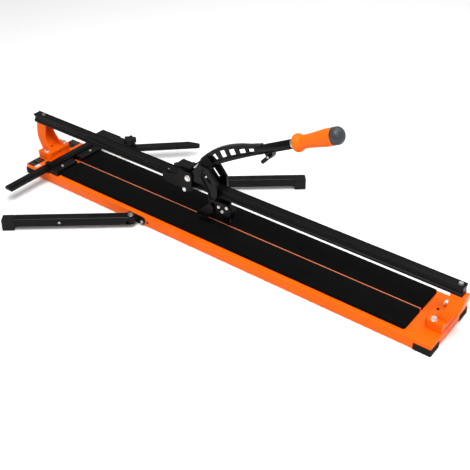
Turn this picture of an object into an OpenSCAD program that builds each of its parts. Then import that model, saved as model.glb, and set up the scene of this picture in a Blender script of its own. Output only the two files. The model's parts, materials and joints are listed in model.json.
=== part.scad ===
// Manual tile cutter: one guide rail over a folded steel base, a carriage with a
// scoring lever, a swivelling measuring fence and two swing-out tile supports.
// Millimetres. Origin: floor level, under the middle of the rail, on the cutting line.
// +X runs along the rail, away from the fence; +Y points to the rear; +Z points up.

/* [Base] */
// Length of the base tray
base_len = 1380; // [1370:5:1390]
// Width of the base tray
base_w = 198; // [196:1:202]
// Height of the tray's top face above the floor
base_top = 31; // [30:0.5:31]
// Thickness of the tray's sheet steel
sheet_t = 2; // [1.5:0.5:2]
// Thickness of the foam pads
pad_t = 9; // [8:0.5:9]
// Height of the breaking ridge above the tray
ridge_h = 9.5; // [9:0.5:9.5]

/* [Rail] */
// Length of the guide rail
rail_len = 1437; // [1427:2:1447]
// Width of the guide rail
rail_w = 25; // [24:0.5:25]
// Height of the guide rail
rail_h = 27.5; // [27:0.5:28]
// Height of the rail's underside above the floor
rail_z = 129.5; // [129:0.5:130]

/* [Lever] */
// Radius of the handle grip at its swell
grip_r = 22.2; // [20:0.2:23]
// Angle of the handle above level
handle_tilt = 27.1; // [26:0.1:28]
// Radius of the scoring wheel
wheel_r = 11; // [8:0.5:11]

/* [Supports] */
// Length of a swing-out support from its pivot to its free end
leg_len = 361; // [300:1:362]
// Angle between the left support and the base's long side
leg_angle = 39; // [10:1:80]

/* [Hidden] */
$fn = 64;

orange = "darkorange";
black = [0.12, 0.12, 0.13];
foam = [0.07, 0.07, 0.07];
steel = "silver";

// The base's middle lies beside the rail's middle, because the rail overhangs at the left
base_x = 10;
base_hx = base_len / 2;
base_hy = base_w / 2;
tray_z = 2;
pad_x0 = -543;
pad_x1 = 622;
pad_gap = 1.4;
front_pad_y = 84;
rear_pad_y = 91;
rail_top = rail_z + rail_h;
lip_h = 1.2;
bolt_r = 4;
play = 0.05;

cap_l = 47;
cap_w = 44;
cap_h = 19.5;
cap_wall = 1.5;

bracket_bolt_x = 661;
bracket_bolt_y = 36;
foot_z = base_top + 24;
rail_bolt_x = 696;
rail_bolt_r = 3;

fence_x0 = -574.6;
fence_x1 = -543.2;
fence_top = 46.5;
fence_screw_x = -558;
fence_screw_y = 59;
fence_screw_r = 2.5;
ruler_x = -589;
ruler_w = 28;
ruler_z = 40.4;
ruler_top = 50;
ruler_y0 = -246;
ruler_y1 = 137;
head_y1 = 181;
knob_x = -480;
knob_y = 160;
fence_z = 32.4;
fence_arm_top = 45.6;
tongue_z = 46;

leg_x = -218;
leg_y = 122;
leg_z = 12;
leg_top = 37.2;
leg_w = 24.4;
leg_foot_l = 33;
tongue_lo = 14.2;
tongue_hi = 23.8;

// Carriage: places along the rail at rest
car_x0 = -173;
car_x1 = -69;
plate_y = 24;
plate_t = 4.5;
flange_x1 = -106;
roller_x = [-160, -118];
roller_y = 16;
roller_z = rail_z + rail_h / 2;
groove_r = 8.5;
groove_y = 17;
axle_r = 2.5;
pivot = [-81, 163];
pivot_r = 5;

// Lever: places in the X-Z plane at rest
fork_y = 17.5;
fork_t = 5;
fork_rib = 3;
grip_start = [236.1, 363.6];
shaft_r = 12.5;
tube_r = 9.55;
bore_r = tube_r + play;
wheel_at = [35, 60];
wheel_axle_r = 3;
breaker_at = [-4, 90];
breaker_pin_r = 3.5;
clamp_at = [174, 311.4];
clamp_r = 3;

// Points along a quadratic Bezier curve from a to c, pulled towards b
function bezier(a, b, c, steps = 16) =
  [for (i = [0 : steps]) let (t = i / steps)
    (1 - t) * (1 - t) * a + 2 * t * (1 - t) * b + t * t * c];

// Draws a 2D shape given in X and Z as a plate from y = a to y = b
module xz_plate(a, b) {
  translate([0, b, 0])
    rotate([90, 0, 0])
      linear_extrude(b - a)
        children();
}

// Puts children on the handle's axis, with local +Z towards the handle's end
module on_handle() {
  translate([grip_start[0], 0, grip_start[1]])
    rotate([0, 90 - handle_tilt, 0])
      children();
}

// A cylinder along Y through a point given in X and Z
module y_pin(at, r, a, b) {
  translate([at[0], a, at[1]])
    rotate([-90, 0, 0])
      cylinder(r = r, h = b - a);
}

// A hexagon-headed bolt with a washer; its seat is at z = 0 and its shank runs down
module hex_bolt(r, shank, af, head, washer_r = 0, washer_t = 0) {
  translate([0, 0, washer_t])
    cylinder(r = af / 2 / cos(30), h = head, $fn = 6);
  if (washer_r > 0)
    cylinder(r = washer_r, h = washer_t + 0.01);
  translate([0, 0, -shank])
    cylinder(r = r, h = shank + 0.5);
}

// Repeats children at both ends of the base, mirrored about its middle
module end_pair() {
  for (side = [0, 1])
    at_end(side) children();
}

// The right end is side 0 and the left end is side 1
module at_end(side) {
  translate([base_x, 0, 0])
    mirror([side, 0, 0])
      children();
}

// Rear equipment is the front equipment turned half a turn about the support station
module at_support(side) {
  translate([leg_x, 0, 0])
    rotate([0, 0, 180 * side])
      children();
}

// ---- Base ----

module base_tray() {
  color(orange)
    difference() {
      translate([base_x - base_hx, -base_hy, tray_z])
        cube([base_len, base_w, base_top - tray_z]);
      translate([base_x - base_hx + sheet_t, -base_hy + sheet_t, tray_z - 1])
        cube([base_len - 2 * sheet_t, base_w - 2 * sheet_t, base_top - tray_z - sheet_t + 1]);
      translate([-176.5, -base_hy - 1, 15])
        rotate([-90, 0, 0])
          cylinder(r = 2.5, h = sheet_t + 2);
    }
}

module ridge_support() {
  support_w = 36;
  support_h = 26;
  color(steel)
    difference() {
      translate([pad_x0, -support_w / 2, base_top - sheet_t - support_h])
        cube([pad_x1 - pad_x0, support_w, support_h]);
      translate([pad_x0 - 1, -support_w / 2 + sheet_t, base_top - 2 * sheet_t - support_h])
        cube([pad_x1 - pad_x0 + 2, support_w - 2 * sheet_t, support_h]);
    }
}

module breaking_ridge() {
  ridge_w = 2.4;
  ridge_tip = 1.2;
  color(orange)
    translate([pad_x0, 0, base_top])
      rotate([90, 0, 90])
        linear_extrude(pad_x1 - pad_x0)
          polygon([[-ridge_w / 2, 0], [ridge_w / 2, 0], [ridge_w / 2, ridge_h - 1],
            [ridge_tip / 2, ridge_h], [-ridge_tip / 2, ridge_h], [-ridge_w / 2, ridge_h - 1]]);
}

// Foam pad on the tray, from the ridge out to y = edge
module pad(edge) {
  color(foam)
    translate([pad_x0, pad_gap, base_top])
      cube([pad_x1 - pad_x0, edge - pad_gap, pad_t]);
}

module front_pad() {
  mirror([0, 1, 0]) pad(front_pad_y);
}

module rear_pad() {
  pad(rear_pad_y);
}

// One rubber cap around a lower corner of the tray, drawn at the +X +Y corner
module corner_cap() {
  floor_t = tray_z - 0.1;
  gap = 0.1;
  lip_t = 3;
  lip_h = 12;
  difference() {
    translate([base_hx + cap_wall - cap_l, base_hy + cap_wall - cap_w, 0])
      cube([cap_l, cap_w, cap_h]);
    translate([base_hx - cap_l, base_hy - cap_w, floor_t])
      cube([cap_l + gap, cap_w + gap, cap_h]);
  }
  difference() {
    translate([base_hx + cap_wall - cap_l, base_hy + cap_wall - cap_w, floor_t - 0.01])
      cube([cap_l - cap_wall - sheet_t - gap, cap_w - cap_wall - sheet_t - gap, lip_h]);
    translate([base_hx - cap_l, base_hy - cap_w, floor_t - 0.02])
      cube([cap_l - sheet_t - lip_t, cap_w - sheet_t - lip_t, lip_h + 1]);
  }
}

module corner_caps() {
  color(black)
    end_pair()
      for (rear = [0, 1])
        mirror([0, rear, 0]) corner_cap();
}

// ---- Rail and its brackets ----

// Cast bracket, drawn at the right end with X from the base's middle.
// Its arm is a channel that opens towards the rail's middle and spreads at the foot.
module rail_bracket() {
  foot_x0 = 641;
  foot_x1 = 688;
  foot_hy = 46;
  wall = 4.5;
  web = 8;
  outer = [[687, 40], [691, 55], [697, 66], [705, 77], [711, 88], [715, 100], [717, 112], [717.5, 124],
    [717.5, rail_z]];
  inner = [[680, rail_z], [680, 98], [677, 86], [670, 72], [657, 56], [655, 40]];
  spread = [[27, 40], [26.5, 55], [26, 66], [23.5, 81], [20, 97], [16.5, 112], [14, 124], [13.5, rail_z]];
  pocket = concat([for (p = outer) if (p[1] > 50 && p[1] < 125) [p[0] - web, p[1]]], [[640, 124], [640, 57]]);
  color(orange)
    difference() {
      union() {
        difference() {
          translate([foot_x0, -foot_hy, base_top])
            cube([foot_x1 - foot_x0, 2 * foot_hy, foot_z - base_top]);
          for (y = [-1, 1])
            translate([foot_x0, y * foot_hy, base_top])
              rotate([0, 0, 45])
                cube([12, 12, 60], center = true);
        }
        arm_solid(concat(outer, inner), spread, 0);
      }
      arm_solid(pocket, spread, wall);
      for (y = [-1, 1])
        translate([bracket_bolt_x, y * bracket_bolt_y, base_top - 1])
          cylinder(r = bolt_r + 0.2, h = 60);
      translate([foot_x0 - 1, 0, 43])
        rotate([0, 90, 0])
          cylinder(r = 3.5, h = 70);
      translate([foot_x0 - 1, -34, 36])
        cube([3, 68, 14]);
      translate([rail_bolt_x, 0, rail_z - 24])
        cylinder(r = rail_bolt_r + 0.2, h = 30);
    }
}

// Side profile in X and Z, as wide at each height as the spread's [half width, height] less a wall
module arm_solid(profile, spread, wall) {
  intersection() {
    xz_plate(-60, 60)
      polygon(profile);
    translate([600, 0, 0])
      rotate([90, 0, 90])
        linear_extrude(150)
          polygon(concat([for (p = spread) [p[0] - wall, p[1]]],
            [for (i = [len(spread) - 1 : -1 : 0]) [wall - spread[i][0], spread[i][1]]]));
  }
}

module left_rail_bracket() {
  at_end(1) rail_bracket();
}

module right_rail_bracket() {
  at_end(0) rail_bracket();
}

module bracket_bolts() {
  color(steel)
    end_pair()
      for (y = [-1, 1])
        translate([bracket_bolt_x, y * bracket_bolt_y, foot_z])
          hex_bolt(bolt_r, foot_z - base_top, 12, 5.5, 8, 1.6);
}

module rail() {
  core_hw = rail_w / 2;
  lip_w = 3;
  color(black)
    difference() {
      translate([-rail_len / 2, 0, 0])
        rotate([90, 0, 90])
          linear_extrude(rail_len)
            difference() {
              translate([-core_hw, rail_z])
                square([rail_w, rail_h]);
              for (side = [-1, 1])
                translate([side * groove_y, roller_z])
                  circle(r = groove_r);
              translate([-core_hw + lip_w, rail_top - lip_h])
                square([rail_w - 2 * lip_w, lip_h + 1]);
            }
      end_pair()
        translate([rail_bolt_x, 0, rail_z - 1])
          cylinder(r = rail_bolt_r + 0.2, h = rail_h + 2);
    }
}

module rail_bolts() {
  color(steel)
    end_pair()
      translate([rail_bolt_x, 0, rail_top - lip_h])
        hex_bolt(rail_bolt_r, rail_h + 6, 10, 4, 6, 1);
}

// ---- Fence and ruler ----

// Stop plate with two shallow steps; the tile's edge rests against its +X face
module fence_plate() {
  step_x = -562;
  color(black)
    difference() {
      translate([fence_x0, 11, base_top])
        cube([fence_x1 - fence_x0, 84, fence_top - base_top]);
      translate([step_x, 88, fence_top - 5])
        rotate([0, 0, 45])
          translate([0, 8, 0]) cube([40, 20, 20]);
      translate([fence_screw_x, fence_screw_y, base_top - 1])
        cylinder(r = fence_screw_r + 0.2, h = 30);
    }
}

module front_fence_plate() {
  mirror([0, 1, 0]) fence_plate();
}

module rear_fence_plate() {
  fence_plate();
}

module fence_screws() {
  screw_h = 2.6;
  color(steel)
    for (y = [-1, 1])
      translate([fence_screw_x, y * fence_screw_y, fence_top])
        difference() {
          union() {
            cylinder(r1 = 4.2, r2 = 3.4, h = screw_h);
            translate([0, 0, base_top - fence_top])
              cylinder(r = fence_screw_r, h = fence_top - base_top + 0.5);
          }
          translate([0, 0, screw_h - 1.4])
            cylinder(r = 1.7, h = 3, $fn = 6);
        }
}

// Thin printed strips on the tray beside the left bracket
module scale_labels() {
  label_t = 0.4;
  color("white")
    for (area = [[-97, 30, 48], [55, 38, 41]])
      translate([-678, area[0], base_top])
        cube([area[1], area[2], label_t]);
}

module ruler_guide() {
  lip_t = 3;
  x0 = ruler_x - ruler_w / 2;
  color(black) {
    translate([x0 - 0.2, -94, base_top])
      cube([ruler_w, 188, ruler_z - base_top - 0.2]);
    translate([x0 - 0.2 - lip_t, -94, base_top])
      cube([lip_t + 0.01, 188, ruler_z - base_top + 4]);
  }
}

module ruler_bar() {
  groove_w = 5;
  color(black)
    difference() {
      translate([ruler_x - ruler_w / 2, ruler_y0, ruler_z])
        cube([ruler_w, ruler_y1 - ruler_y0, ruler_top - ruler_z]);
      translate([ruler_x + 5, ruler_y0 - 1, ruler_top - 2.5])
        cube([groove_w, ruler_y1 - ruler_y0 + 2, 5]);
      translate([ruler_x - 4, -85, ruler_z - 1])
        cylinder(r = 3 + play, h = 20);
    }
}

// Head on the ruler's rear end; its thin tongue carries the swivelling fence
module angle_head() {
  head_x0 = -621;
  head_x1 = -542;
  color(black)
    difference() {
      union() {
        translate([head_x0, ruler_y1, ruler_z])
          cube([head_x1 - head_x0, head_y1 - ruler_y1, ruler_top - ruler_z]);
        translate([head_x1 - 1, knob_y - 18, tongue_z])
          cube([knob_x - head_x1 + 1, 36, ruler_top - tongue_z]);
        translate([knob_x, knob_y, tongue_z])
          cylinder(r = 18, h = ruler_top - tongue_z);
      }
      translate([knob_x, knob_y, tongue_z - 1])
        cylinder(r = 4 + play, h = 10);
    }
}

// Stud that clamps the swivelling fence under the head's tongue
module angle_stud() {
  color(steel)
    translate([knob_x, knob_y, fence_z - 3.5]) {
      cylinder(r = 8, h = 3.3);
      cylinder(r = 4, h = 39.6);
    }
}

module angle_fence() {
  arm = [[8, 9], [187, 9], [213, -3], [219, -6.5], [221, -10], [219.5, -14], [214, -16.5], [8, -16.5]];
  color(black)
    translate([knob_x, knob_y, fence_z])
      difference() {
        union() {
          cylinder(r = 21, h = fence_arm_top - fence_z);
          rotate(43)
            linear_extrude(fence_arm_top - fence_z)
              polygon(arm);
        }
        translate([0, 0, -1])
          cylinder(r = 4 + play, h = 30);
      }
}

module star_knob() {
  lobes = 6;
  knob_r = 18;
  lobe = 3;
  waist_h = 6;
  body_h = 16;
  color(black)
    translate([knob_x, knob_y, ruler_top + 0.4])
      difference() {
        union() {
          cylinder(r = 10, h = waist_h + 1);
          translate([0, 0, waist_h])
            linear_extrude(body_h)
              polygon([for (a = [0 : 5 : 355])
                (knob_r + lobe * cos(lobes * a)) * [cos(a), sin(a)]]);
          translate([0, 0, waist_h + body_h - 0.1])
            cylinder(r1 = 13, r2 = 10, h = 2);
        }
        translate([0, 0, -1])
          cylinder(r = 4 + play, h = 20);
      }
}

module ruler_screw() {
  color(black)
    translate([ruler_x - 4, -85, ruler_top + 0.3]) {
      cylinder(r = 8, h = 9);
      translate([0, 0, -5.5])
        cylinder(r = 3, h = 6);
    }
}

// ---- Swing-out supports, drawn pointing along +X from their pivot ----

module at_leg(side) {
  at_support(side)
    translate([0, -leg_y, 0])
      rotate([0, 0, 180 + leg_angle])
        children();
}

module leg_arm() {
  wall = 2;
  arm_l = leg_len - leg_foot_l - 0.2;
  color(black)
    difference() {
      union() {
        translate([0, 0, leg_z])
          cylinder(d = leg_w, h = leg_top - leg_z);
        translate([0, -leg_w / 2, leg_z])
          cube([arm_l, leg_w, leg_top - leg_z]);
      }
      translate([34, -leg_w / 2 + wall, leg_z - 1])
        cube([arm_l, leg_w - 2 * wall, leg_top - leg_z - wall + 1]);
      translate([-20, -20, tongue_lo - 0.3])
        cube([33, 40, tongue_hi - tongue_lo + 0.6]);
      cylinder(r = bolt_r + play, h = 100);
      translate([200, leg_w / 2 + 1, 24])
        rotate([90, 0, 0])
          cylinder(r = 2.2, h = wall + 2);
    }
}

module leg_strip() {
  color(foam)
    translate([118, -9, leg_top])
      cube([leg_len - leg_foot_l - 119, 18, 1.4]);
}

module leg_foot() {
  foot_w = leg_w + 0.8;
  foot_top = leg_top + 0.4;
  color(black)
    difference() {
      translate([leg_len - leg_foot_l, -foot_w / 2, 0])
        cube([leg_foot_l, foot_w, foot_top]);
      translate([leg_len - 3, -foot_w / 2 - 1, foot_top])
        rotate([0, 45, 0])
          cube([8, foot_w + 2, 8]);
    }
}

module leg_screw() {
  color(steel)
    translate([200, leg_w / 2, 24])
      rotate([-90, 0, 0]) {
        cylinder(r = 3.6, h = 1.4);
        translate([0, 0, -4])
          cylinder(r = 2, h = 4.5);
      }
}

module front_leg_arm() {
  at_leg(0) leg_arm();
}

module rear_leg_arm() {
  at_leg(1) leg_arm();
}

module front_leg_strip() {
  at_leg(0) leg_strip();
}

module rear_leg_strip() {
  at_leg(1) leg_strip();
}

module front_leg_foot() {
  at_leg(0) leg_foot();
}

module rear_leg_foot() {
  at_leg(1) leg_foot();
}

module front_leg_screw() {
  at_leg(0) leg_screw();
}

module rear_leg_screw() {
  at_leg(1) leg_screw();
}

// Bracket on the tray's side with a tongue that carries the support's pivot
module leg_bracket() {
  flange_t = 3;
  flange_z = [4, 28];
  flange_hx = 22;
  flange_r = (flange_z[1] - flange_z[0]) / 2;
  tongue_r = 11;
  color(black)
    difference() {
      union() {
        translate([0, -base_hy - flange_t, 0])
          xz_plate(0, flange_t - 0.05) {
            translate([-flange_hx, flange_z[0]])
              square([2 * flange_hx, 2 * flange_r]);
            for (side = [-1, 1])
              translate([side * flange_hx, flange_z[0] + flange_r])
                circle(r = flange_r);
          }
        translate([-tongue_r, -leg_y, tongue_lo])
          cube([2 * tongue_r, leg_y - base_hy - flange_t + 0.01, tongue_hi - tongue_lo]);
        translate([0, -leg_y, tongue_lo])
          cylinder(r = tongue_r, h = tongue_hi - tongue_lo);
      }
      translate([0, -leg_y, 0])
        cylinder(r = bolt_r + play, h = 60);
    }
}

module front_leg_bracket() {
  at_support(0) leg_bracket();
}

module rear_leg_bracket() {
  at_support(1) leg_bracket();
}

module leg_bracket_bolts() {
  color(steel)
    for (side = [0, 1])
      at_support(side)
        for (x = [-24, 24])
          translate([x, -base_hy - 3.05, 14])
            rotate([90, 0, 0])
              cylinder(r = 5, h = 3.4);
}

module leg_pivot_bolts() {
  nut_h = 4.5;
  color(steel)
    for (side = [0, 1])
      at_support(side)
        translate([0, -leg_y, 0]) {
          translate([0, 0, leg_top + 0.2])
            hex_bolt(bolt_r, leg_top + 0.2 - leg_z + nut_h, 12, 4.2, 8, 1);
          translate([0, 0, leg_z - 0.2 - nut_h])
            cylinder(r = 6.8, h = nut_h, $fn = 6);
        }
}

// ---- Carriage ----

// Side plate with flanges that hold the guide rollers, drawn on the rear side
module carriage_plate() {
  flange_t = 4;
  low_z = 124;
  high_z = 160;
  flange_y = 13.5;
  color(black)
    difference() {
      union() {
        xz_plate(plate_y, plate_y + plate_t) {
          polygon([[car_x0 + 6, low_z], [car_x1, low_z], [car_x1, 174], [car_x1 - 5, 179], [-106, 179],
            [-118, high_z], [car_x0, high_z - 6], [car_x0, low_z + 6]]);
          translate([-93, 126])
            circle(r = 12);
        }
        for (z = [low_z, high_z - flange_t])
          translate([car_x0 + 6, flange_y, z])
            cube([flange_x1 - car_x0 - 6, plate_y - flange_y + 0.01, flange_t]);
      }
      for (x = roller_x)
        translate([x, roller_y, low_z - 1])
          cylinder(r = axle_r + play, h = 40);
      y_pin(pivot, pivot_r + play, 10, 40);
      y_pin([-93, 124], 3 + play, 10, 40);
    }
}

module carriage_front_plate() {
  mirror([0, 1, 0]) carriage_plate();
}

module carriage_rear_plate() {
  carriage_plate();
}

// Bridge over the rail that ties both side plates together and anchors the spring
module carriage_yoke() {
  yoke_hy = 16.8;
  wall_x = [-120, -98];
  color(black)
    difference() {
      union() {
        translate([-133, -yoke_hy, 180])
          cube([48, 2 * yoke_hy, 6]);
        translate([wall_x[0], -plate_y + 0.05, 160])
          cube([wall_x[1] - wall_x[0], 2 * plate_y - 0.1, 20]);
      }
      translate([wall_x[0] - 1, -13.5, 150])
        cube([wall_x[1] - wall_x[0] + 2, 27, 24]);
    }
}

// Roller axles and the lower cross bolt of the carriage
module carriage_pins() {
  color(steel) {
    for (x = roller_x)
      for (y = [-1, 1])
        translate([x, y * roller_y, 124.5])
          cylinder(r = axle_r, h = 35);
    y_pin([-93, 124], 3, -31, 31);
    for (y = [-1, 1])
      y_pin([-93, 124], 6, y * 30.1 - 1.5, y * 30.1 + 1.5);
  }
}

module lever_pivot_bolt() {
  color(steel) {
    y_pin(pivot, pivot_r, -31, 31);
    for (y = [-1, 1])
      y_pin(pivot, 9, y * 29.4 - 0.8, y * 29.4 + 0.8);
    for (y = [-1, 1])
      translate([pivot[0], y * 32, pivot[1]])
        rotate([90, 0, 0])
          cylinder(r = 7.5, h = 4, center = true, $fn = 6);
  }
}

// Spring that lifts the lever, as the tube that its coils fill
module lift_spring() {
  low = [-81, 182.5];
  high = [-60.5, 204.6];
  run = high - low;
  spring_r = 2.8;
  color(steel)
    translate([low[0], 0, low[1]])
      rotate([0, atan2(run[0], run[1]), 0])
        cylinder(r = spring_r, h = norm(run));
}

// Convex roller that runs in the rail's groove with a small gap
module guide_roller(i) {
  gap = 0.3;
  half_h = 5;
  crown = [for (z = [-half_h : 1 : half_h])
    [roller_y - gap - groove_y + sqrt(groove_r * groove_r - z * z), z]];
  x = roller_x[i % 2];
  y = (i < 2 ? -1 : 1) * roller_y;
  color(steel)
    translate([x, y, roller_z])
      rotate_extrude()
        polygon(concat([[axle_r + play, -half_h]], crown, [[axle_r + play, half_h]]));
}

// ---- Lever ----

// One side of the fork that straddles the rail, drawn on the rear side
module fork_plate() {
  outer = [[-11, 215], [16, 181], [18, 162], [18, 142], [12, 127], [6, 119], [-14, 119], [-14, 137], [-43, 182],
    [-32, 215]];
  inner = [[-13, 210], [12, 177], [14, 161], [14, 143], [9, 130], [4, 123.5], [-10, 123.5], [-10, 139], [-38, 183],
    [-29, 210]];
  slot = [[-26, 190], [-9.5, 173]];
  slot_run = slot[1] - slot[0];
  slot_r = 4.3;
  color(black)
    difference() {
      union() {
        xz_plate(fork_y, fork_y + fork_t) {
          polygon([[-88, 169], [-68, 188.5], [-42, 215], [-11, 215], [16, 181], [18, 162], [18, 142], [12, 127],
            [6, 119], [-14, 119], [-14, 137], [-30, 158], [-77, 153.5]]);
          translate(pivot)
            circle(r = 10);
        }
        xz_plate(fork_y + fork_t - 0.01, fork_y + fork_t + fork_rib)
          difference() {
            polygon(outer);
            polygon(inner);
          }
      }
      y_pin(pivot, pivot_r + play, 10, 40);
      xz_plate(10, 40)
        translate(slot[0])
          rotate(atan2(slot_run[1], slot_run[0])) {
            translate([0, -slot_r])
              square([norm(slot_run), 2 * slot_r]);
            circle(r = slot_r);
            translate([norm(slot_run), 0])
              circle(r = slot_r);
          }
    }
}

module front_fork_plate() {
  mirror([0, 1, 0]) fork_plate();
}

module rear_fork_plate() {
  fork_plate();
}

// Cast arm: crown between the fork plates, ladder of windows and a tubular socket
module lever_arm() {
  // Middle in X and Z, width, height and angle of each window
  windows = [[-5, 243.5, 15, 16, 44], [21, 262, 20, 19, 33], [50.5, 277, 22, 16.5, 28], [83, 291, 23, 12, 26],
    [111.5, 303.3, 19.5, 9, 23]];
  corner = 1;
  top = concat(bezier([-54, 222], [0, 290], [104, 317]), [[142, 331]]);
  bottom = bezier([152, 309], [74, 269], [4, 226]);
  inner_top = bezier([-24, 238], [18, 288], [124, 315]);
  inner_bottom = bezier([124, 301], [70, 275], [-8, 229]);
  chord_hy = 7;
  web_hy = 2.5;
  lug_hy = 9;
  crown_hy = fork_y - 0.05;
  crown = [[-57, 202], [-50, 218], [-28, 246], [-24, 240], [-10, 226], [-13, 214], [-15, 206], [-20, 202]];
  color(black)
    difference() {
      union() {
        xz_plate(-chord_hy, chord_hy)
          difference() {
            polygon(concat(top, bottom));
            polygon(concat(inner_top, inner_bottom));
          }
        xz_plate(-web_hy, web_hy)
          difference() {
            polygon(concat(top, bottom));
            for (w = windows)
              translate([w[0], w[1]])
                rotate(w[4])
                  polygon(window_outline(w[2] / 2, w[3] / 2, corner));
          }
        intersection() {
          xz_plate(-crown_hy, crown_hy)
            polygon(crown);
          translate([-80, 0, 0])
            rotate([90, 0, 90])
              linear_extrude(120)
                polygon([[-crown_hy, 195], [-crown_hy, 214], [-chord_hy, 248], [-chord_hy, 264], [chord_hy, 264],
                  [chord_hy, 248], [crown_hy, 214], [crown_hy, 195]]);
        }
        xz_plate(4.3, 10)
          polygon([[-86, 190], [-70, 203], [-50, 226], [-40, 222], [-50, 207], [-66, 196], [-82, 188.5]]);
        on_handle()
          translate([0, 0, -114])
            cylinder(r = shaft_r, h = 114);
        xz_plate(-lug_hy, lug_hy)
          polygon([[158, 320], [183, 331], [180.5, 314], [178.5, 307], [173, 302.5], [165, 304.5], [158.5, 311]]);
      }
      on_handle()
        translate([0, 0, -88])
          cylinder(r = bore_r, h = 100);
      y_pin(clamp_at, clamp_r + play, -20, 20);
    }
}

// Corner points of a window whose corners are cut off
function window_outline(hw, hh, cut) = [
  for (q = [[1, 1], [-1, 1], [-1, -1], [1, -1]])
    for (first = q[0] * q[1] > 0 ? [true, false] : [false, true])
      [q[0] * (hw - (first ? 0 : cut)), q[1] * (hh - (first ? cut : 0))]
];

// Head under the rail that carries the wheel fork and the breaker's hinge
module wheel_head() {
  cheek_y = [14, 20];
  wheel_slot = 3;
  color(black)
    difference() {
      union() {
        xz_plate(-cheek_y[1], -cheek_y[0])
          polygon([[-15, 118.8], [46, 118.8], [58, 110], [57, 92], [48, 82], [6, 82], [-6, 80], [-14, 86]]);
        xz_plate(cheek_y[0], cheek_y[1])
          polygon([[-15, 118.8], [26, 118.8], [32, 112], [32, 90], [26, 82], [6, 82], [-6, 80], [-14, 86]]);
        xz_plate(-14.01, 14.01)
          polygon([[12, 105.5], [56, 96.5], [56, 88], [46, 78], [14, 78]]);
        xz_plate(-8, 8)
          polygon([[18, 79], [52, 79], [42, 53], [38, 51], [32, 51], [28, 53]]);
      }
      xz_plate(-wheel_slot, wheel_slot)
        polygon([[0, 72.6], [70, 72.6], [70, 40], [0, 40]]);
      y_pin(wheel_at, wheel_axle_r + play, -20, 20);
      y_pin(breaker_at, breaker_pin_r + play, -30, 30);
    }
}

module head_bolts() {
  color(steel)
    for (at = [[20, -1, 105.5], [32, -1, 95], [46.5, -1, 112], [20, 1, 105.5]])
      translate([at[0], 20 * at[1], at[2]])
        rotate([-90 * at[1], 0, 0])
          difference() {
            cylinder(r = 4.4, h = 3.4);
            translate([0, 0, 1.4])
              cylinder(r = 2.1, h = 5, $fn = 6);
          }
}

// Axle of the scoring wheel and hinge pin of the breaker
module head_pins() {
  color(steel) {
    y_pin(wheel_at, wheel_axle_r, -9, 9);
    y_pin(breaker_at, breaker_pin_r, -19.4, 19.4);
  }
}

module cutting_wheel() {
  hub_r = 5.5;
  hub_hy = 2.7;
  disc_hy = 1.4;
  color(steel)
    translate([wheel_at[0], 0, wheel_at[1]])
      rotate([90, 0, 0])
        rotate_extrude()
          polygon([[wheel_axle_r + play, -hub_hy], [hub_r, -hub_hy], [hub_r, -disc_hy], [wheel_r - 2, -disc_hy],
            [wheel_r, 0], [wheel_r - 2, disc_hy], [hub_r, disc_hy], [hub_r, hub_hy], [wheel_axle_r + play, hub_hy]]);
}

module breaker_foot() {
  foot_hy = 31;
  lug_hy = 13.6;
  color(black)
    difference() {
      union() {
        translate([-50, -foot_hy, 62])
          cube([35, 2 * foot_hy, 5]);
        xz_plate(-lug_hy, lug_hy) {
          polygon([[-40, 66.9], [-11, 94], [2, 84], [-18, 66.9]]);
          translate(breaker_at)
            circle(r = 8);
        }
      }
      y_pin(breaker_at, breaker_pin_r + play, -40, 40);
    }
}

module breaker_pads() {
  color(foam)
    for (y = [-30, 14])
      translate([-48.5, y, 57])
        cube([32, 16, 5]);
}

module clamp_bolt() {
  color(steel) {
    y_pin(clamp_at, clamp_r, -18, 11);
    y_pin(clamp_at, 2.9, -18.8, -17.6);
    y_pin(clamp_at, 5, 9.1, 12);
  }
}

// Small lever that clamps the sliding handle tube
module clamp_lever() {
  tip = [-16.1, -18.4];
  color(black)
    difference() {
      xz_plate(-17.5, -9.4)
        translate(clamp_at)
          hull() {
            circle(r = 5.2);
            translate(tip)
              circle(r = 5.2);
          }
      y_pin(clamp_at, clamp_r + play, -20, 20);
    }
}

module handle_tube() {
  tube_wall = 1.8;
  color(steel)
    on_handle()
      translate([0, 0, -84])
        difference() {
          cylinder(r = tube_r, h = 200);
          translate([0, 0, -1])
            cylinder(r = tube_r - tube_wall, h = 196);
        }
}

module ferrule() {
  color(steel)
    on_handle()
      difference() {
        translate([0, 0, 0.4])
          cylinder(r = 14.8, h = 8.6);
        cylinder(r = bore_r, h = 20);
      }
}

module grip() {
  k = grip_r / 22.2;
  profile = concat([[14, 9.2], [20.5, 10]],
    bezier([22.6, 11.6], [24.4, 17], [21.9, 23], 6),
    bezier([19.8, 26.4], [17.5, 29], [17.4, 36], 5),
    bezier([17.3, 46], [18.1, 60], [19.4, 74], 6),
    bezier([20.6, 86], [22.2, 98], [22.1, 112], 6),
    [[21.7, 125]]);
  color(orange)
    on_handle()
      difference() {
        rotate_extrude()
          polygon(concat([[0, 9.2]], [for (p = profile) [p[0] * k, p[1]]], [[0, 125]]));
        cylinder(r = bore_r, h = 116.5);
      }
}

module grip_cap() {
  k = grip_r / 22.2;
  color([0.25, 0.3, 0.36])
    on_handle()
      rotate_extrude()
        polygon([for (p = concat([[0, 125.1], [21.7, 125.1], [22, 130]],
          bezier([21.9, 137], [18.5, 146.5], [8.5, 149.6], 8), [[0, 150.4]])) [p[0] * k, p[1]]]);
}

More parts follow.
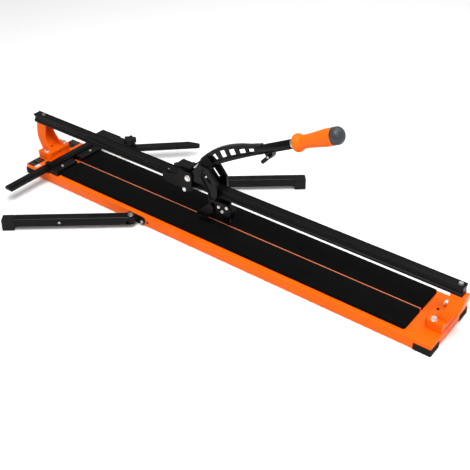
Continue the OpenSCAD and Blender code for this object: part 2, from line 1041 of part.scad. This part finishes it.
base_tray();
ridge_support();
breaking_ridge();
front_pad();
rear_pad();
corner_caps();
left_rail_bracket();
right_rail_bracket();
bracket_bolts();
rail();
rail_bolts();
front_fence_plate();
rear_fence_plate();
fence_screws();
scale_labels();
ruler_guide();
front_leg_bracket();
rear_leg_bracket();
leg_bracket_bolts();
leg_pivot_bolts();
ruler_bar();
angle_head();
angle_stud();
angle_fence();
star_knob();
ruler_screw();
front_leg_arm();
front_leg_strip();
front_leg_foot();
front_leg_screw();
rear_leg_arm();
rear_leg_strip();
rear_leg_foot();
rear_leg_screw();
carriage_front_plate();
carriage_rear_plate();
carriage_yoke();
carriage_pins();
lever_pivot_bolt();
lift_spring();
guide_roller(0);  // guide_roller_1
guide_roller(1);  // guide_roller_2
guide_roller(2);  // guide_roller_3
guide_roller(3);  // guide_roller_4
front_fork_plate();
rear_fork_plate();
lever_arm();
wheel_head();
head_bolts();
head_pins();
clamp_bolt();
cutting_wheel();
breaker_foot();
breaker_pads();
clamp_lever();
handle_tube();
ferrule();
grip();
grip_cap();
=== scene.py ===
"""Looks of a manual tile cutter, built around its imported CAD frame. Metres, +Z up."""

import json
import math

import bmesh
import bpy
from mathutils import Matrix, Vector


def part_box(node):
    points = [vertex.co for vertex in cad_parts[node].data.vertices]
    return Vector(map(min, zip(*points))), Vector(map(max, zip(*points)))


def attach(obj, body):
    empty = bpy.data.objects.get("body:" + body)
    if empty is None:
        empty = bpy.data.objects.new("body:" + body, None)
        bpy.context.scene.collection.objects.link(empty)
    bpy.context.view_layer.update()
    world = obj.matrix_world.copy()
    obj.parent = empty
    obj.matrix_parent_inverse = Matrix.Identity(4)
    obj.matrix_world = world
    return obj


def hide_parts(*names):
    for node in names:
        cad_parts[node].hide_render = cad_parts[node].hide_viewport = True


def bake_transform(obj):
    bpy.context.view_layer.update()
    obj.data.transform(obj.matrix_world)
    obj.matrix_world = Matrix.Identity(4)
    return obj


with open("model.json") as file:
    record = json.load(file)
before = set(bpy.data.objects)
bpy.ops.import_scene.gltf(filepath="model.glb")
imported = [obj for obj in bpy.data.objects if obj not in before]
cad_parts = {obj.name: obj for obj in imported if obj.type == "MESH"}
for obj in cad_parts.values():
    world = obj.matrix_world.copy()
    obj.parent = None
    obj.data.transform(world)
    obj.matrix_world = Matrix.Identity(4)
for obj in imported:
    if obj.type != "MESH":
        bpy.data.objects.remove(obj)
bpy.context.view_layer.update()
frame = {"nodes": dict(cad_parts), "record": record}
SCENE = bpy.context.scene
SCENE.view_settings.view_transform = "Standard"
MM = 0.001


# ---- Camera, floor and light ----

CAMERA_AT = (1.1930, -1.5020, 1.3490)
CAMERA_AZIMUTH = 37.06
CAMERA_ELEVATION = 35.28
CAMERA_LENS = 63.9
SENSOR_WIDTH = 36
CLIP_START = 0.05
CLIP_END = 30

FLOOR_HALF = 12
FLOOR_COLOUR = (0.93, 0.93, 0.93, 1)
FLOOR_ROUGHNESS = 0.6

SKY_STRENGTH = 0.42
LIGHT_TARGET = (0, 0, 0.1)
# (name, place, width, watts)
LIGHTS = (
    ("key", (0.5, -1.0, 3.0), 2.0, 95),
    ("fill", (2.4, -1.0, 1.6), 1.8, 16),
    ("top", (0.6, 1.3, 3.0), 2.2, 50),
)


def make_camera():
    camera = bpy.data.objects.new("camera", bpy.data.cameras.new("camera"))
    SCENE.collection.objects.link(camera)
    azimuth = math.radians(CAMERA_AZIMUTH)
    elevation = math.radians(CAMERA_ELEVATION)
    back = Vector(
        (
            math.sin(azimuth) * math.cos(elevation),
            -math.cos(azimuth) * math.cos(elevation),
            math.sin(elevation),
        )
    )
    camera.location = CAMERA_AT
    camera.rotation_mode = "QUATERNION"
    camera.rotation_quaternion = (-back).to_track_quat("-Z", "Y")
    camera.data.lens = CAMERA_LENS
    camera.data.sensor_width = SENSOR_WIDTH
    camera.data.clip_start = CLIP_START
    camera.data.clip_end = CLIP_END
    SCENE.camera = camera


def make_floor():
    corners = [(x * FLOOR_HALF, y * FLOOR_HALF, 0) for x, y in ((-1, -1), (1, -1), (1, 1), (-1, 1))]
    mesh = bpy.data.meshes.new("floor")
    mesh.from_pydata(corners, [], [(0, 1, 2, 3)])
    floor = bpy.data.objects.new("floor", mesh)
    SCENE.collection.objects.link(floor)
    material = bpy.data.materials.new("floor")
    material.use_nodes = True
    shader = material.node_tree.nodes["Principled BSDF"]
    shader.inputs["Base Color"].default_value = FLOOR_COLOUR
    shader.inputs["Roughness"].default_value = FLOOR_ROUGHNESS
    mesh.materials.append(material)


def area_light(name, at, size, power):
    light = bpy.data.objects.new(name, bpy.data.lights.new(name, "AREA"))
    SCENE.collection.objects.link(light)
    light.data.shape = "SQUARE"
    light.data.size = size
    light.data.energy = power
    light.location = at
    light.rotation_mode = "QUATERNION"
    light.rotation_quaternion = (Vector(LIGHT_TARGET) - Vector(at)).to_track_quat("-Z", "Y")


def make_light():
    world = bpy.data.worlds.new("studio")
    world.use_nodes = True
    sky = world.node_tree.nodes["Background"]
    sky.inputs["Color"].default_value = (1, 1, 1, 1)
    sky.inputs["Strength"].default_value = SKY_STRENGTH
    SCENE.world = world
    for light in LIGHTS:
        area_light(*light)


# ---- Materials ----


def new_material(name, **sockets):
    """A Principled material with constant values on its own sockets."""
    material = bpy.data.materials.new(name)
    material.use_nodes = True
    shader = material.node_tree.nodes["Principled BSDF"]
    for socket, value in sockets.items():
        shader.inputs[socket.replace("_", " ")].default_value = value
    return material


class Graph:
    """Short names for adding nodes to one material."""

    def __init__(self, material):
        self.tree = material.node_tree
        self.shader = self.tree.nodes["Principled BSDF"]
        self.place = self.add("ShaderNodeTexCoord").outputs["Object"]

    def add(self, kind, **settings):
        node = self.tree.nodes.new(kind)
        for key, value in settings.items():
            setattr(node, key, value)
        return node

    def link(self, out, socket):
        self.tree.links.new(out, socket)

    def stretched(self, scale):
        node = self.add("ShaderNodeMapping")
        node.inputs["Scale"].default_value = scale
        self.link(self.place, node.inputs["Vector"])
        return node.outputs["Vector"]

    def noise(self, scale, detail=3.0, roughness=0.5, stretch=None):
        node = self.add("ShaderNodeTexNoise")
        node.inputs["Scale"].default_value = scale
        node.inputs["Detail"].default_value = detail
        node.inputs["Roughness"].default_value = roughness
        place = self.stretched(stretch) if stretch else self.place
        self.link(place, node.inputs["Vector"])
        return node.outputs["Fac"]

    def cells(self, scale):
        node = self.add("ShaderNodeTexVoronoi", feature="F1")
        node.inputs["Scale"].default_value = scale
        self.link(self.place, node.inputs["Vector"])
        return node.outputs["Distance"]

    def remap(self, value, low, high, new_low, new_high):
        node = self.add("ShaderNodeMapRange")
        for key, number in zip(
            ("From Min", "From Max", "To Min", "To Max"), (low, high, new_low, new_high)
        ):
            node.inputs[key].default_value = number
        self.link(value, node.inputs["Value"])
        return node.outputs["Result"]

    def colour(self, value, dark, light, band=(0.3, 0.7)):
        """Blends two colours over the band that the noise mostly fills."""
        value = self.remap(value, *band, 0, 1)
        node = self.add("ShaderNodeMix", data_type="RGBA")
        node.inputs["A"].default_value = (*dark, 1)
        node.inputs["B"].default_value = (*light, 1)
        self.link(value, node.inputs["Factor"])
        self.link(node.outputs["Result"], self.shader.inputs["Base Color"])

    def roughness(self, value, low, high, band=(0.3, 0.7)):
        """Varies the roughness over the band that the noise mostly fills."""
        self.link(self.remap(value, *band, low, high), self.shader.inputs["Roughness"])

    def bump(self, *layers):
        """Each layer is (height, distance in metres, strength)."""
        normal = None
        for height, distance, strength in layers:
            node = self.add("ShaderNodeBump")
            node.inputs["Distance"].default_value = distance
            node.inputs["Strength"].default_value = strength
            self.link(height, node.inputs["Height"])
            if normal:
                self.link(normal, node.inputs["Normal"])
            normal = node.outputs["Normal"]
        self.link(normal, self.shader.inputs["Normal"])


def painted(name, dark, light, level, tint=(1, 1, 1)):
    """Powder coat: a slight orange-peel skin over steel."""
    material = new_material(name, Specular_IOR_Level=level, Specular_Tint=(*tint, 1))
    graph = Graph(material)
    graph.colour(graph.noise(scale=9, detail=4), dark, light)
    graph.roughness(graph.noise(scale=60), 0.32, 0.45)
    peel = graph.noise(scale=700, detail=2)
    grain = graph.noise(scale=2600, detail=1)
    graph.bump((peel, 0.0002, 0.25), (grain, 0.00005, 0.3))
    return material


def extruded(name, dark, light):
    """Anodised extrusion with fine die lines along X."""
    material = new_material(name, Specular_IOR_Level=0.12)
    graph = Graph(material)
    lines = graph.noise(scale=900, roughness=0.6, stretch=(0.004, 1, 1))
    graph.colour(lines, dark, light, band=(0.35, 0.65))
    graph.roughness(graph.noise(scale=40), 0.3, 0.42)
    grain = graph.noise(scale=3000, detail=1)
    graph.bump((lines, 0.0001, 0.35), (grain, 0.00004, 0.2))
    return material


def cast(name, dark, light):
    """Painted casting: soft lumps under a semi-gloss coat."""
    material = new_material(name, Specular_IOR_Level=0.15)
    graph = Graph(material)
    graph.colour(graph.noise(scale=25, detail=4), dark, light)
    graph.roughness(graph.noise(scale=120), 0.28, 0.42)
    lumps = graph.noise(scale=90)
    grain = graph.noise(scale=1300, detail=2)
    graph.bump((lumps, 0.0006, 0.25), (grain, 0.0001, 0.35))
    return material


def foamed(name, dark, light):
    """Closed-cell foam sheet: matt, with small pores."""
    material = new_material(name, Specular_IOR_Level=0.05, Sheen_Weight=0.005, Sheen_Roughness=0.6)
    graph = Graph(material)
    graph.colour(graph.noise(scale=500, detail=4), dark, light, band=(0.35, 0.65))
    graph.roughness(graph.noise(scale=30), 0.82, 0.95)
    pores = graph.cells(scale=1500)
    waves = graph.noise(scale=60)
    graph.bump((pores, 0.0002, 0.5), (waves, 0.0005, 0.2))
    return material


def moulded(name, dark, light, rough=(0.45, 0.6), grain=0.3, level=0.3):
    """Moulded plastic or rubber with a fine grain."""
    material = new_material(name, Specular_IOR_Level=level)
    graph = Graph(material)
    graph.colour(graph.noise(scale=40, detail=4), dark, light)
    graph.roughness(graph.noise(scale=90), *rough)
    skin = graph.noise(scale=1500, detail=2)
    pebbles = graph.cells(scale=900)
    graph.bump((skin, 0.00012, grain), (pebbles, 0.00006, 0.2))
    return material


def plated(name, dark, light, rough):
    """Zinc-plated or ground steel."""
    material = new_material(name, Metallic=1.0)
    graph = Graph(material)
    graph.colour(graph.noise(scale=180, detail=4), dark, light)
    graph.roughness(graph.noise(scale=400, detail=4), *rough)
    scuffs = graph.noise(scale=900)
    grain = graph.noise(scale=2500, detail=1)
    graph.bump((scuffs, 0.00006, 0.4), (grain, 0.00003, 0.2))
    return material


ORANGE_TINT = (1.0, 0.5, 0.2)

# name: (recipe, darkest and lightest linear colour, the recipe's own settings)
FINISHES = {
    "orange_paint": (painted, (0.80, 0.105, 0.002), (0.90, 0.13, 0.004), dict(level=0.2, tint=ORANGE_TINT)),
    "black_paint": (painted, (0.0015, 0.0015, 0.0017), (0.0035, 0.0035, 0.0037), dict(level=0.12)),
    "black_anodised": (extruded, (0.001, 0.001, 0.0012), (0.004, 0.004, 0.0045), {}),
    "black_casting": (cast, (0.0008, 0.0008, 0.0009), (0.002, 0.002, 0.0022), {}),
    "foam": (foamed, (0.001, 0.0011, 0.001), (0.003, 0.0032, 0.003), {}),
    "rubber": (
        moulded,
        (0.004, 0.004, 0.0045),
        (0.008, 0.008, 0.0085),
        dict(rough=(0.6, 0.75), grain=0.5, level=0.12),
    ),
    "zinc_steel": (plated, (0.36, 0.36, 0.355), (0.52, 0.52, 0.51), dict(rough=(0.3, 0.46))),
    "bright_zinc": (plated, (0.78, 0.78, 0.77), (0.90, 0.90, 0.89), dict(rough=(0.3, 0.45))),
    "carbide": (plated, (0.28, 0.28, 0.29), (0.38, 0.38, 0.39), dict(rough=(0.25, 0.4))),
    "black_plastic": (moulded, (0.003, 0.003, 0.0035), (0.007, 0.007, 0.0075), dict(level=0.15)),
    "orange_grip": (
        moulded,
        (0.83, 0.125, 0.004),
        (0.92, 0.15, 0.006),
        dict(rough=(0.34, 0.46), grain=0.12, level=0.12),
    ),
    "slate_plastic": (
        moulded,
        (0.026, 0.031, 0.034),
        (0.042, 0.049, 0.054),
        dict(rough=(0.3, 0.42), grain=0.5),
    ),
    "label": (moulded, (0.55, 0.54, 0.50), (0.66, 0.65, 0.61), dict(rough=(0.35, 0.5), grain=0.1)),
    "faded_print": (
        moulded,
        (0.16, 0.14, 0.13),
        (0.22, 0.20, 0.18),
        dict(rough=(0.35, 0.5), grain=0.1, level=0.2),
    ),
    # Lighter black for the lines along the supports' top edges: a painted highlight
    "edge_highlight_black": (painted, (0.012, 0.012, 0.012), (0.032, 0.032, 0.032), dict(level=0.3)),
    # Paler orange for the breaking ridge: a painted highlight along its top
    "ridge_highlight_orange": (painted, (0.70, 0.165, 0.065), (0.82, 0.22, 0.10), dict(level=0.3)),
}

MATERIALS = {
    name: recipe(name, dark, light, **settings)
    for name, (recipe, dark, light, settings) in FINISHES.items()
}

# CAD nodes whose finish differs from the rest of their slot: bright heads, and a ridge painted paler orange
# as a painted highlight along it
NODE_FINISH = {
    "breaking_ridge": "ridge_highlight_orange",
    "bracket_bolts": "bright_zinc",
    "carriage_pins": "bright_zinc",
    "fence_screws": "bright_zinc",
    "head_bolts": "bright_zinc",
    "lever_pivot_bolt": "bright_zinc",
}


# ---- CAD nodes that keep their shape ----

WELD_DISTANCE = 0.001 * MM
EDGE_ROUND = 0.5 * MM
CAST_EDGE_ROUND = 0.9 * MM
CAST_SLOTS = ("black_casting", "black_paint")
EDGE_ANGLE = 32


def dress_cad_nodes():
    """Gives every CAD node its material, softened edges and clean shading."""
    slots = {s["node"]: s["material_slot"] for s in frame["record"]["subparts"]}
    for name, node in frame["nodes"].items():
        node.data.materials.clear()
        node.data.materials.append(MATERIALS[NODE_FINISH.get(name, slots[name])])
        weld = node.modifiers.new("weld", "WELD")
        weld.merge_threshold = WELD_DISTANCE
        bevel = node.modifiers.new("bevel", "BEVEL")
        bevel.width = CAST_EDGE_ROUND if slots[name] in CAST_SLOTS else EDGE_ROUND
        bevel.segments = 2
        bevel.limit_method = "ANGLE"
        bevel.angle_limit = math.radians(EDGE_ANGLE)
        bevel.harden_normals = True


# ---- Helpers for the detailed pieces ----

STEPS_90 = [math.radians(a) for a in (0, 22.5, 45, 67.5, 90)]
SMALLEST_CORNER = 0.3 * MM
CORNER_STEPS = 5
BOTTOM_SHARE = 0.4
SHARP_ANGLE = 35


def box_of(node):
    low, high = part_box(node)
    return Vector(low), Vector(high)


def in_mm(pairs):
    return [(a * MM, b * MM) for a, b in pairs]


def rounded_rectangle(low, high, radius, inset):
    """Outline in X and Y with round corners, counter-clockwise."""
    x0, y0, x1, y1 = low[0] + inset, low[1] + inset, high[0] - inset, high[1] - inset
    r = max(radius - inset, SMALLEST_CORNER)
    corners = ((x1 - r, y1 - r), (x0 + r, y1 - r), (x0 + r, y0 + r), (x1 - r, y0 + r))
    points = []
    for quarter, (cx, cy) in enumerate(corners):
        for i in range(CORNER_STEPS + 1):
            angle = math.radians(90 * (quarter + i / CORNER_STEPS))
            points.append((cx + r * math.cos(angle), cy + r * math.sin(angle)))
    return points


def loft(bm, rings):
    """Skins rings of equally many points and closes the first and the last."""
    rows = [[bm.verts.new(point) for point in ring] for ring in rings]
    count = len(rows[0])
    for lower, upper in zip(rows, rows[1:]):
        for i in range(count):
            k = (i + 1) % count
            bm.faces.new((lower[i], lower[k], upper[k], upper[i]))
    bm.faces.new(rows[0][::-1])
    bm.faces.new(rows[-1])


def slab(bm, low, high, radius, profile, place=None):
    """Plate with round corners; profile lists (inset, height) from its bottom to its top."""
    rings = []
    for inset, height in profile:
        outline = rounded_rectangle(low, high, radius, inset)
        ring = [Vector((x, y, height)) for x, y in outline]
        rings.append([place @ v for v in ring] if place else ring)
    loft(bm, rings)


def soft_edge(z0, z1, edge):
    """Slab profile with a small round at the bottom and a larger one at the top."""
    top = [(edge * (1 - math.cos(a)), z1 - edge * (1 - math.sin(a))) for a in STEPS_90]
    return [(edge * BOTTOM_SHARE, z0), (0, z0 + edge * BOTTOM_SHARE)] + top


def turned(bm, origin, axis, profile, segments):
    """Solid of revolution; profile lists (distance along the axis, radius)."""
    axis = Vector(axis).normalized()
    side = axis.orthogonal().normalized()
    other = axis.cross(side)
    rings = []
    for along, radius in profile:
        ring = []
        for i in range(segments):
            angle = 2 * math.pi * i / segments
            out = math.cos(angle) * side + math.sin(angle) * other
            ring.append(Vector(origin) + along * axis + radius * out)
        rings.append(ring)
    loft(bm, rings)


def swept(bm, path, radius, segments=10):
    """Round wire along a path of points."""
    rings = []
    side = (path[1] - path[0]).orthogonal().normalized()
    for i, point in enumerate(path):
        before, after = path[max(i - 1, 0)], path[min(i + 1, len(path) - 1)]
        along = (after - before).normalized()
        side = (side - side.dot(along) * along).normalized()
        other = along.cross(side)
        ring = []
        for k in range(segments):
            angle = 2 * math.pi * k / segments
            ring.append(point + radius * (math.cos(angle) * side + math.sin(angle) * other))
        rings.append(ring)
    loft(bm, rings)


def new_piece(name, bm, slot, body=None, replaces=(), finish=None):
    """Turns mesh code into a shown piece on a body; finish names a material other than the slot's."""
    bmesh.ops.recalc_face_normals(bm, faces=bm.faces)
    mesh = bpy.data.meshes.new(name)
    bm.to_mesh(mesh)
    bm.free()
    mesh.polygons.foreach_set("use_smooth", [True] * len(mesh.polygons))
    mesh.set_sharp_from_angle(angle=math.radians(SHARP_ANGLE))
    mesh.materials.append(MATERIALS[finish or slot])
    piece = bpy.data.objects.new(name, mesh)
    SCENE.collection.objects.link(piece)
    if body:
        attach(piece, body)
    if replaces:
        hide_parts(*replaces)
    return piece


# ---- Base ----


def make_pads():
    """Closed-cell foam pads with soft edges and round corners."""
    corner = 6 * MM
    edge = 1.6 * MM
    for node in ("front_pad", "rear_pad"):
        low, high = box_of(node)
        bm = bmesh.new()
        slab(bm, low, high, corner, soft_edge(low.z, high.z, edge))
        piece = new_piece(node + "_foam", bm, "foam", "base", [node])


def make_tray():
    """Folded sheet tray with bends of a real radius."""
    low, high = box_of("base_tray")
    sheet = 2 * MM
    bend = 2.6 * MM
    inner_bend = bend - sheet
    corner = 3 * MM
    outside = [(0, low.z)]
    inside = [(sheet, low.z)]
    for angle in STEPS_90:
        across = 1 - math.cos(angle)
        down = 1 - math.sin(angle)
        outside.append((bend * across, high.z - bend * down))
        inside.append((sheet + inner_bend * across, high.z - sheet - inner_bend * down))
    bm = bmesh.new()
    rings = []
    for inset, height in inside[::-1] + outside:
        outline = rounded_rectangle(low, high, corner, inset)
        rings.append([(x, y, height) for x, y in outline])
    loft(bm, rings)
    new_piece("tray_shell", bm, "orange_paint", "base", ["base_tray"])


def make_plugs():
    """Small black plugs in the hole in the tray's front wall and in the holes of both brackets, standing in
    for the shade inside those holes: painted shade.
    """
    low, _ = box_of("base_tray")
    wall_holes = [(-176.5 * MM, low.y, 15 * MM)]
    foot_holes = [(x * MM, 0, 43 * MM) for x in (686, -644)]
    top_holes = [(x * MM, y * MM, 56.7 * MM) for x, y in ((661.8, 4), (-661.8, -4))]
    profile = [(0, 3.4), (0.5, 3.4), (0.9, 3.1), (1.0, 2.6), (0.5, 2.2), (0.3, 0.4)]
    bm = bmesh.new()
    for axis, holes in (((0, -1, 0), wall_holes), ((1, 0, 0), foot_holes), ((0, 0, 1), top_holes)):
        for at in holes:
            turned(bm, at, axis, in_mm(profile), segments=24)
    # Black plugs put where the holes only hold shade: painted shade
    new_piece("hole_shade_plugs", bm, "black_plastic", "base")


def make_cap_ribs():
    """Grip ribs on the outer faces of the four corner caps."""
    low, high = box_of("corner_caps")
    length = 47 * MM
    width = 44 * MM
    bottom = low.z + 2 * MM
    top = 17 * MM
    pitch = 3.6 * MM
    first_rib = 2
    bm = bmesh.new()
    for sx, x in ((-1, low.x), (1, high.x)):
        for sy, y in ((-1, low.y), (1, high.y)):
            for i in range(first_rib, int(length / pitch) - 1):
                rib(bm, (x - sx * i * pitch, y), (0, sy), bottom, top)
            for i in range(first_rib, int(width / pitch) - 1):
                rib(bm, (x, y - sy * i * pitch), (sx, 0), bottom, top)
    new_piece("cap_ribs", bm, "rubber", "base")


def rib(bm, at, out, z0, z1):
    """Upright round rib on a wall, sunk a little into it, with smaller ends."""
    half = 0.8 * MM
    proud = 0.5 * MM
    sunk = -0.3 * MM
    shoulder = 0.7
    end_scale = 0.5
    side = Vector((-out[1], out[0]))
    outline = [
        (-half, sunk),
        (half, sunk),
        (half * shoulder, proud * shoulder),
        (0, proud),
        (-half * shoulder, proud * shoulder),
    ]
    rings = []
    for z, scale in ((z0, end_scale), (z0 + half, 1), (z1 - half, 1), (z1, end_scale)):
        ring = []
        for across, away in outline:
            away_scale = scale if away > 0 else 1
            p = Vector(at) + side * across * scale + Vector(out) * away * away_scale
            ring.append((p.x, p.y, z))
        rings.append(ring)
    loft(bm, rings)


def make_labels():
    """Black film labels on the tray, with generic ticks and bars printed on them."""
    areas = (((-678, -97), (-648, -49)), ((-678, 55), (-640, 96)))
    sticker_area = ((-0.647, -0.096), (-0.635, -0.078))
    margin = 3
    ticks = 9
    tick_half = 0.3 * MM
    long_tick, short_tick, long_every = 0.32, 0.2, 4
    bars = (0.6, 0.8)
    bar_width = 1.1 * MM
    film_corner = 2 * MM
    print_corner = 0.3 * MM
    sticker_corner = 1 * MM
    low, _ = box_of("scale_labels")
    bottom = low.z - 0.1 * MM
    top = low.z + 0.3 * MM
    film_profile = [(0, bottom), (0, top), (0.1 * MM, top + 0.05 * MM)]
    print_profile = [(0, top), (0, top + 0.12 * MM)]
    film_bm = bmesh.new()
    print_bm = bmesh.new()
    for (x0, y0), (x1, y1) in areas:
        slab(film_bm, (x0 * MM, y0 * MM), (x1 * MM, y1 * MM), film_corner, film_profile)
        for i in range(ticks):
            x = (x0 + margin + i * (x1 - x0 - 2 * margin) / (ticks - 1)) * MM
            y = (y0 + margin) * MM
            reach = (long_tick if i % long_every == 0 else short_tick) * (y1 - y0) * MM
            slab(print_bm, (x - tick_half, y), (x + tick_half, y + reach), print_corner, print_profile)
        for bar in bars:
            y = (y0 + bar * (y1 - y0)) * MM
            start = ((x0 + margin) * MM, y)
            end = ((x1 - margin) * MM, y + bar_width)
            slab(print_bm, start, end, print_corner, print_profile)
    sticker_bm = bmesh.new()
    slab(sticker_bm, *sticker_area, sticker_corner, [(0, bottom), (0, top)])
    new_piece("label_film", film_bm, "black_plastic", "base", ["scale_labels"])
    new_piece("label_print", print_bm, "label", "base", finish="faded_print")
    new_piece("sticker", sticker_bm, "label", "base")


def make_rail_beads():
    """Fine beads that the rail's extrusion carries along its top and its sides."""
    low, high = box_of("rail")
    end_gap = 0.5 * MM
    top_z = high.z - 1.2 * MM
    top_places = (-6.5, 0, 6.5)
    side_heights = (132.2, 154.2)
    section = ((-0.7, -0.2), (0.7, -0.2), (0.5, 0.35), (0, 0.5), (-0.5, 0.35))
    beads = [((y * MM, top_z), (0, 1)) for y in top_places]
    for side in (-1, 1):
        beads += [((side * high.y, z * MM), (side, 0)) for z in side_heights]
    bm = bmesh.new()
    for (y, z), (oy, oz) in beads:
        rings = []
        for x in (low.x + end_gap, high.x - end_gap):
            ring = []
            for across, away in section:
                ring.append((x, y + (away * oy - across * oz) * MM, z + (away * oz + across * oy) * MM))
            rings.append(ring)
        loft(bm, rings)
    new_piece("rail_beads", bm, "black_anodised", "base")


# ---- Supports ----


def make_support_strips():
    """Ribbed rubber strips on the two swing-out supports, and lighter lines along their top edges: a
    painted highlight.
    """
    joints = {joint["name"]: joint for joint in frame["record"]["behaviour"]["joints"]}
    start = 118 * MM
    end = 326 * MM
    half = 9 * MM
    corner = 1.5 * MM
    z0 = 37.1 * MM
    strip_profile = soft_edge(z0, z0 + 1.3 * MM, 0.5 * MM)
    rib_profile = [(0, z0 + 1 * MM), (0, z0 + 1.5 * MM), (0.2 * MM, z0 + 1.7 * MM)]
    rib_pitch = 2.4 * MM
    rib_half = 0.5 * MM
    rib_corner = 0.4 * MM
    edge_x = (2 * MM, start, end - 1 * MM)
    edge_y = 12 * MM
    edge_z = 37 * MM
    edge_radius = 0.75 * MM
    for name, along_base in (("front_leg", 180), ("rear_leg", 0)):
        # The lower limit folds a support along the base, so at rest it is turned that far from there
        joint = joints[name + "_swing"]
        turn = math.radians(along_base - joint["range_deg"][0])
        x, y, _ = joint["pos_m"]
        place = Matrix.Translation((x, y, 0)) @ Matrix.Rotation(turn, 4, "Z")
        bm = bmesh.new()
        slab(bm, (start, -half), (end, half), corner, strip_profile, place)
        for k in range(-3, 4):
            y = k * rib_pitch
            low = (start + corner, y - rib_half)
            high = (end - corner, y + rib_half)
            slab(bm, low, high, rib_corner, rib_profile, place)
        new_piece(name + "_rubber", bm, "rubber", name, [name + "_strip"])
        edge_bm = bmesh.new()
        for y in (-edge_y, edge_y):
            swept(edge_bm, [place @ Vector((x, y, edge_z)) for x in edge_x], edge_radius)
        # The edge lines are painted lighter than the black paint: a painted highlight along the top edges
        new_piece(name + "_edges", edge_bm, "black_paint", name, finish="edge_highlight_black")


# ---- Carriage and lever ----


def make_spring():
    """Coil spring that lifts the lever, between the carriage's bridge and the lever's crown."""
    low = Vector((-81, 0, 182.5)) * MM
    high = Vector((-60.5, 0, 204.6)) * MM
    wire = 0.55 * MM
    coil = 2.2 * MM
    turns = 11
    steps_per_turn = 16
    steps = steps_per_turn * turns
    along = (high - low).normalized()
    side = Vector((0, 1, 0))
    other = along.cross(side)
    path = []
    for i in range(steps + 1):
        t = i / steps
        angle = 2 * math.pi * turns * t
        path.append(low.lerp(high, t) + coil * (math.cos(angle) * side + math.sin(angle) * other))
    bm = bmesh.new()
    swept(bm, path, wire)
    piece = new_piece("lift_spring_coil", bm, "zinc_steel", replaces=["lift_spring"], finish="bright_zinc")
    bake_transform(piece)


def make_crown_ribs():
    """Short cast ribs on both sloping faces of the lever's crown."""
    tops = ((-41, 226), (-34.5, 232), (-28, 236), (-21.5, 232))
    foot_z = 216
    lean = 0.45
    face_y, face_z, face_slope = 17.45, 214, 0.3074
    end_sink = 0.5
    radius = 1.3 * MM
    bm = bmesh.new()
    for side in (-1, 1):
        for x, z in tops:
            path = []
            for t in (0, 0.04, 0.5, 0.96, 1):
                at_z = z + (foot_z - z) * t
                sink = end_sink if t in (0, 1) else 0
                y = face_y - (at_z - face_z) * face_slope - sink
                path.append(Vector((x + (z - at_z) * lean, side * y, at_z)) * MM)
            swept(bm, path, radius, segments=12)
    new_piece("crown_ribs", bm, "black_casting", "lever")


def make_fork_beads():
    """Rounded beads along both edges of each fork plate's raised rim."""
    low, _ = box_of("front_fork_plate")
    _, high = box_of("rear_fork_plate")
    sink = 0.3 * MM
    radius = 1.1 * MM
    edges = (
        ((-11.6, 213.8), (14.8, 181), (16.8, 162), (16.8, 142), (11, 127.6), (6, 120.4)),
        ((-31.2, 213.8), (-41.6, 182.4), (-12.8, 137.6), (-12.8, 120.4)),
    )
    bm = bmesh.new()
    for y in (low.y + sink, high.y - sink):
        for edge in edges:
            swept(bm, [Vector((x, y, z)) for x, z in in_mm(edge)], radius, segments=12)
    new_piece("fork_beads", bm, "black_casting", "lever")


def make_breaker_pads():
    """Rubber pads under the breaker foot, with their softer edge facing down."""
    low, high = box_of("breaker_pads")
    width = 16 * MM
    corner = 2.5 * MM
    edge = 1.2 * MM
    profile = [(inset, low.z + high.z - z) for inset, z in soft_edge(low.z, high.z, edge)]
    bm = bmesh.new()
    for y0 in (low.y, high.y - width):
        slab(bm, (low.x, y0), (high.x, y0 + width), corner, profile)
    piece = new_piece("breaker_pads_rubber", bm, "rubber", "breaker", ["breaker_pads"])


def make_foot_wings():
    """Upright sheet wings on the breaker foot, with a rolled bead along their sloping edge."""
    outline = [Vector(corner) for corner in ((-50, 66.8), (-17, 66.8), (4, 84), (4, 99), (-4, 108))]
    middle = Vector((-16, 84))
    # (distance from the middle plane, size of the outline there)
    layers = ((23.6, 0.985), (24.1, 1), (26.3, 1), (26.8, 0.985))
    bead_y = 25.9
    bead_radius = 1.5 * MM
    bm = bmesh.new()
    for side in (-1, 1):
        rings = []
        for y, scale in layers:
            ring = []
            for corner in outline:
                at = middle + (corner - middle) * scale
                ring.append(Vector((at.x, side * y, at.y)) * MM)
            rings.append(ring)
        loft(bm, rings)
        bead = [outline[0].lerp(outline[-1], t) for t in (0.02, 0.5, 0.98)]
        path = [Vector((at.x, side * bead_y, at.y)) * MM for at in bead]
        swept(bm, path, bead_radius, segments=14)
    new_piece("foot_wings", bm, "black_casting", "breaker")


def make_slot_screw():
    """Bright adjusting screw that shows in the front fork plate's slot."""
    place = Vector((-21.5, -20.6, 186.2)) * MM
    profile = [(0, 2.9), (2.2, 2.9), (2.6, 2.5), (2.7, 1.3), (2.1, 1.1), (2.1, 0.3)]
    bm = bmesh.new()
    turned(bm, place, (0, -1, 0), in_mm(profile), segments=28)
    new_piece("slot_screw", bm, "zinc_steel", "lever", finish="bright_zinc")


def make_cap_seam():
    """Thin seam ring between the grip and its end cap."""
    tilt = math.radians(27.1)
    axis = Vector((math.cos(tilt), 0, math.sin(tilt)))
    axis_start = Vector((236.1, 0, 363.6)) * MM
    profile = [(124.5, 21), (124.5, 21.9), (124.8, 22.15), (125.6, 22.15), (125.9, 21.9), (125.9, 21)]
    bm = bmesh.new()
    turned(bm, axis_start, axis, in_mm(profile), segments=64)
    new_piece("grip_seam", bm, "black_plastic", "handle_end")


make_camera()
make_floor()
make_light()
dress_cad_nodes()
make_pads()
make_breaker_pads()
make_tray()
make_plugs()
make_cap_ribs()
make_labels()
make_rail_beads()
make_support_strips()
make_spring()
make_crown_ribs()
make_fork_beads()
make_foot_wings()
make_slot_screw()
make_cap_seam()
